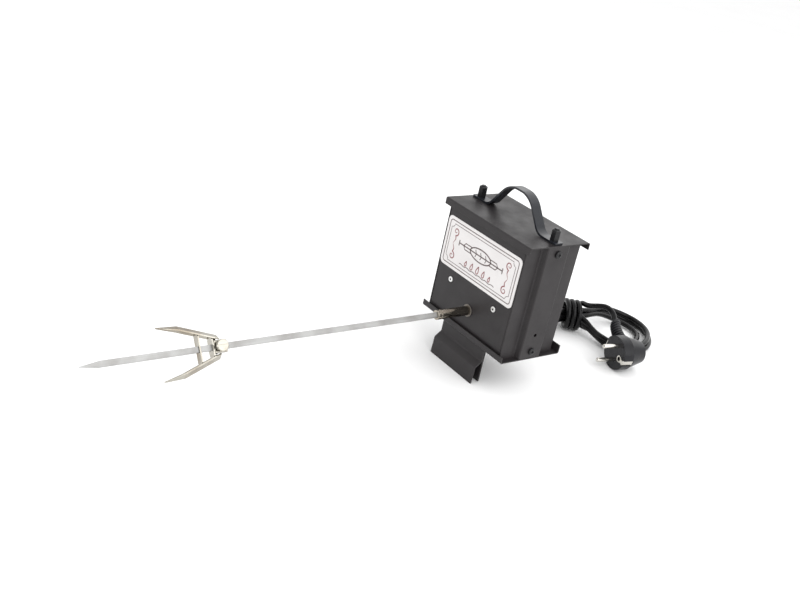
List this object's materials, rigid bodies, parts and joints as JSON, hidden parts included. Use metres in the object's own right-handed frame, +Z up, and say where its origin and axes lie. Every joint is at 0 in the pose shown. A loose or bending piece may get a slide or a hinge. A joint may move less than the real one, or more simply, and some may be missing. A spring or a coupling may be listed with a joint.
{
  "type": "rotisserie spit roaster",
  "caption": "Upright sheet-metal rotisserie motor box with hook bracket, arched handle, square spit bar, sliding meat fork with thumbscrew and a bundled mains lead with plug.",
  "frame": {"origin": "middle of the front face of the hook bracket's back plate, level with the roof of the slot that hangs on a grill's edge", "axes": "+Z up, spit leaves the box towards -Y, +X is on the right seen from the front"},
  "size_m": [0.1517, 0.6747, 0.1906],
  "materials": {
    "case_paint": "satin",
    "handle_black": "semi gloss",
    "black_steel": "gloss",
    "zinc_steel": "satin",
    "bar_steel": "dull",
    "stainless": "bright",
    "rivet_aluminium": "bright",
    "label_face": "satin white print",
    "bronze": "sintered",
    "brass": "plain",
    "nickel": "bright",
    "acetal": "satin",
    "copper_wire": "enamelled",
    "bobbin_plastic": "satin",
    "ferrite": "matte",
    "block_plastic": "satin",
    "cord_black": "satin",
    "plug_black": "satin"
  },
  "bodies": {
    "box": {"lid": "case_paint", "tray": "case_paint", "side_panel_left": "case_paint", "side_panel_right": "case_paint", "front_panel": "case_paint", "rear_panel": "case_paint", "label_plate": "label_face", "panel_rivets": "rivet_aluminium", "side_screws": "black_steel", "tray_screws": "zinc_steel", "hook_front_plate": "case_paint", "hook_back_plate": "case_paint", "hook_screws": "black_steel", "handle_strap": "handle_black", "handle_nuts": "black_steel", "handle_studs": "black_steel", "gear_plate_front": "zinc_steel", "gear_plate_rear": "zinc_steel", "plate_spacers": "zinc_steel", "spacer_screws": "zinc_steel", "gear_pins": "nickel", "front_bush": "zinc_steel", "rear_bush": "bronze", "pin_sleeves": "acetal", "motor_can": "zinc_steel", "rotor_bushes": "bronze", "motor_screws": "zinc_steel", "coil_bobbin": "bobbin_plastic", "coil_winding": "copper_wire", "pole_ring": "zinc_steel", "terminal_block": "block_plastic", "terminal_screws": "brass", "earth_screw": "brass", "cord_gland": "plug_black", "power_cord": "cord_black", "plug_tail": "cord_black", "cord_hank": "cord_black", "plug_body": "plug_black", "plug_earth_clips": "nickel", "plug_pins": "nickel", "plug_boot": "plug_black"},
    "output": {"output_wheel": "bronze", "output_shaft": "nickel", "spit_socket": "stainless", "shaft_clip": "black_steel"},
    "second_gear": {"second_gear": "acetal"},
    "first_gear": {"first_gear": "acetal"},
    "rotor": {"rotor_magnet": "ferrite", "rotor_shaft": "nickel", "rotor_pinion": "brass"},
    "spit": {"spit_bar": "bar_steel"},
    "fork": {"fork_hub": "stainless", "fork_brace": "stainless", "fork_prong_upper": "stainless", "fork_prong_lower": "stainless"},
    "fork_screw": {"fork_screw": "stainless"}
  },
  "joints": [
    {"name": "output_spin", "type": "hinge", "parent": "box", "child": "output", "pos_m": [0, 0, 0.045], "axis": [0, -1, 0], "continuous": true},
    {"name": "second_gear_spin", "type": "hinge", "parent": "box", "child": "second_gear", "pos_m": [0, 0, 0.069], "axis": [0, -1, 0], "continuous": true},
    {"name": "first_gear_spin", "type": "hinge", "parent": "box", "child": "first_gear", "pos_m": [0, 0, 0.087], "axis": [0, -1, 0], "continuous": true},
    {"name": "rotor_spin", "type": "hinge", "parent": "box", "child": "rotor", "pos_m": [0, 0, 0.102], "axis": [0, -1, 0], "continuous": true},
    {"name": "spit_slide", "type": "slide", "parent": "output", "child": "spit", "axis": [0, -1, 0], "range_m": [0, 0.03]},
    {"name": "fork_slide", "type": "slide", "parent": "spit", "child": "fork", "axis": [0, 1, 0], "range_m": [-0.075, 0.215]},
    {"name": "fork_screw_turn", "type": "hinge", "parent": "fork", "child": "fork_screw", "pos_m": [0, -0.274, 0.045], "axis": [0.788, 0, 0.6157], "range_deg": [0, 720]}
  ],
  "couplings": [
    {"joint": "second_gear_spin", "follows": "output_spin", "ratio": -4},
    {"joint": "first_gear_spin", "follows": "output_spin", "ratio": 16},
    {"joint": "rotor_spin", "follows": "output_spin", "ratio": -64}
  ]
}
